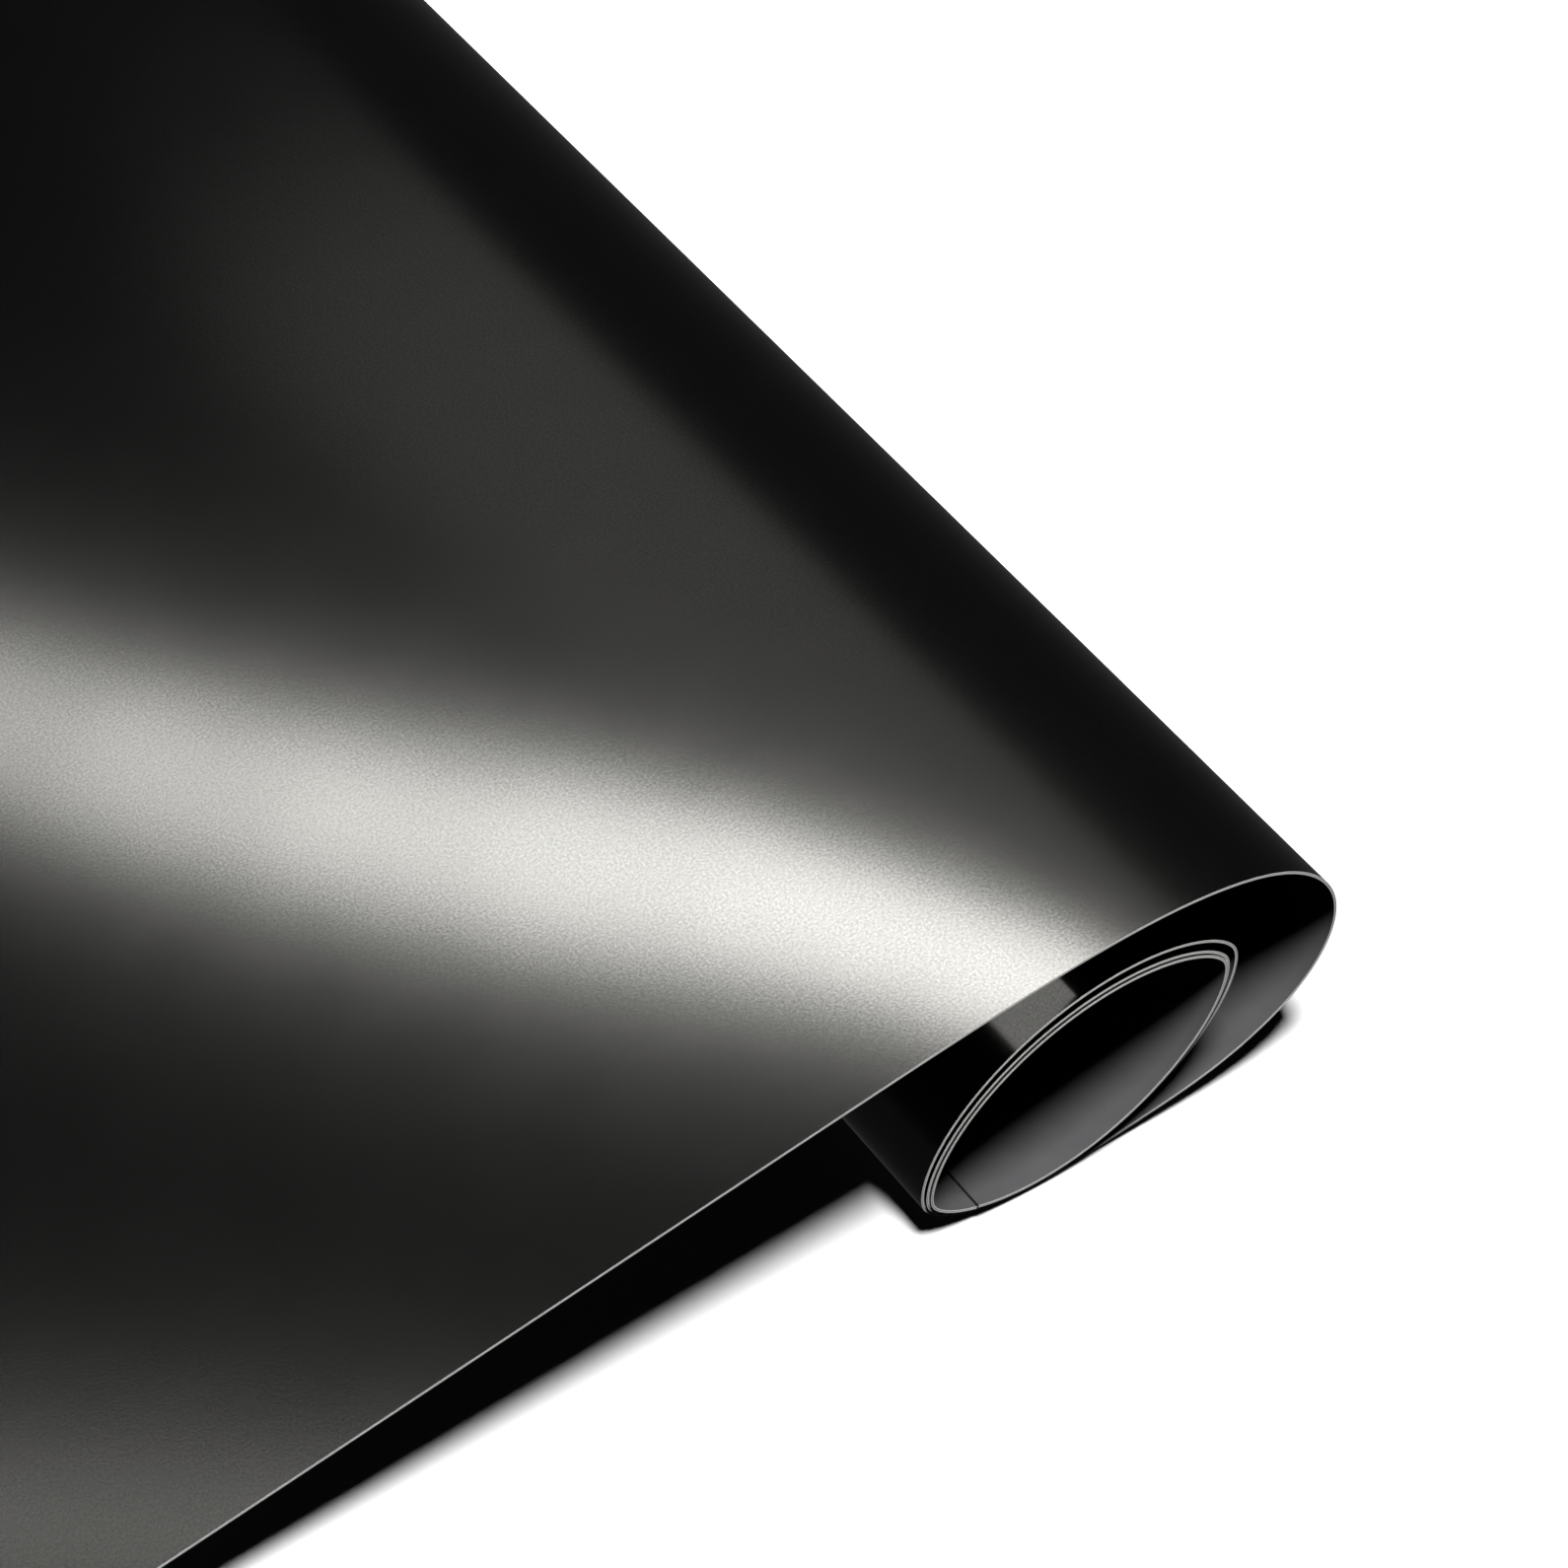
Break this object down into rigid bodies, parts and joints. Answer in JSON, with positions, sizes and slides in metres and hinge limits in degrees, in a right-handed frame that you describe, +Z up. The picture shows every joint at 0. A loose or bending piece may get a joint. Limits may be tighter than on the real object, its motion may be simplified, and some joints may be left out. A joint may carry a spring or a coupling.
{
  "type": "roll of sign vinyl",
  "caption": "Loose coreless roll of satin black metallic sign vinyl: wound coil, tall open loop and a long tail that runs down flat, in film, adhesive and liner layers.",
  "frame": {"origin": "centre of the bounding box, on the surface the roll lies on", "axes": "+Y along the roll's axis away from the near end, +Z up, +X from the flat end of the tail towards the loop"},
  "size_m": [0.2412, 0.3058, 0.0327],
  "materials": {
    "film": "satin black metallic",
    "adhesive": "clear grey pressure-sensitive adhesive",
    "liner": "black coated release liner, satin"
  },
  "bodies": {
    "root": {"film_turn_1": "film", "adhesive_turn_1": "adhesive", "liner_turn_1": "liner", "film_turn_2": "film", "adhesive_turn_2": "adhesive", "liner_turn_2": "liner", "film_turn_3": "film", "adhesive_turn_3": "adhesive", "liner_turn_3": "liner"},
    "inner_end": {"film_inner_end": "film", "adhesive_inner_end": "adhesive", "liner_inner_end": "liner"},
    "loop_1": {"film_loop_1": "film", "adhesive_loop_1": "adhesive", "liner_loop_1": "liner"},
    "loop_2": {"film_loop_2": "film", "adhesive_loop_2": "adhesive", "liner_loop_2": "liner"},
    "loop_3": {"film_loop_3": "film", "adhesive_loop_3": "adhesive", "liner_loop_3": "liner"},
    "loop_4": {"film_loop_4": "film", "adhesive_loop_4": "adhesive", "liner_loop_4": "liner"},
    "loop_5": {"film_loop_5": "film", "adhesive_loop_5": "adhesive", "liner_loop_5": "liner"},
    "loop_6": {"film_loop_6": "film", "adhesive_loop_6": "adhesive", "liner_loop_6": "liner"},
    "loop_7": {"film_loop_7": "film", "adhesive_loop_7": "adhesive", "liner_loop_7": "liner"},
    "tail": {"film_tail": "film", "adhesive_tail": "adhesive", "liner_tail": "liner"},
    "flat_end": {"film_flat_end": "film", "adhesive_flat_end": "adhesive", "liner_flat_end": "liner"},
    "film_lift_1": {"film_lift_1": "film", "adhesive_lift_1": "adhesive"},
    "film_lift_2": {"film_lift_2": "film", "adhesive_lift_2": "adhesive"}
  },
  "joints": [
    {"name": "loop_open_1", "type": "hinge", "parent": "root", "child": "loop_1", "pos_m": [0.10057, 0, 0.00255], "axis": [0, 1, 0], "range_deg": [0, 23.92], "stiffness_Nm_per_rad": 0.01},
    {"name": "loop_open_2", "type": "hinge", "parent": "loop_1", "child": "loop_2", "pos_m": [0.11401, 0, 0.00807], "axis": [0, 1, 0], "range_deg": [0, 23.92], "stiffness_Nm_per_rad": 0.01},
    {"name": "loop_open_3", "type": "hinge", "parent": "loop_2", "child": "loop_3", "pos_m": [0.11888, 0, 0.01328], "axis": [0, 1, 0], "range_deg": [0, 23.92], "stiffness_Nm_per_rad": 0.01},
    {"name": "loop_open_4", "type": "hinge", "parent": "loop_3", "child": "loop_4", "pos_m": [0.12053, 0, 0.01815], "axis": [0, 1, 0], "range_deg": [0, 23.92], "stiffness_Nm_per_rad": 0.01},
    {"name": "loop_open_5", "type": "hinge", "parent": "loop_4", "child": "loop_5", "pos_m": [0.12013, 0, 0.02232], "axis": [0, 1, 0], "range_deg": [0, 23.92], "stiffness_Nm_per_rad": 0.01},
    {"name": "loop_open_6", "type": "hinge", "parent": "loop_5", "child": "loop_6", "pos_m": [0.11777, 0, 0.0264], "axis": [0, 1, 0], "range_deg": [0, 23.92], "stiffness_Nm_per_rad": 0.01},
    {"name": "loop_open_7", "type": "hinge", "parent": "loop_6", "child": "loop_7", "pos_m": [0.11251, 0, 0.03017], "axis": [0, 1, 0], "range_deg": [0, 23.92], "stiffness_Nm_per_rad": 0.01},
    {"name": "loop_open_8", "type": "hinge", "parent": "loop_7", "child": "tail", "pos_m": [0.09834, 0, 0.0327], "axis": [0, 1, 0], "range_deg": [0, 23.92], "stiffness_Nm_per_rad": 0.01},
    {"name": "flat_end_straighten", "type": "hinge", "parent": "tail", "child": "flat_end", "pos_m": [-0.07417, 0, 0.00033], "axis": [0, 1, 0], "range_deg": [-11.39, 0], "stiffness_Nm_per_rad": 0.02},
    {"name": "film_lift", "type": "hinge", "parent": "flat_end", "child": "film_lift_1", "pos_m": [-0.0886, 0, 0.00034], "axis": [0, 1, 0], "range_deg": [0, 70]},
    {"name": "film_lift_tip", "type": "hinge", "parent": "film_lift_1", "child": "film_lift_2", "pos_m": [-0.1046, 0, 0.00034], "axis": [0, 1, 0], "range_deg": [0, 70.1]},
    {"name": "inner_end_bend", "type": "hinge", "parent": "root", "child": "inner_end", "pos_m": [0.09351, 0, 0.00477], "axis": [0, 1, 0], "range_deg": [0, 40], "stiffness_Nm_per_rad": 0.004}
  ],
  "couplings": [
    {"joint": "film_lift_tip", "follows": "film_lift", "ratio": 1}
  ]
}
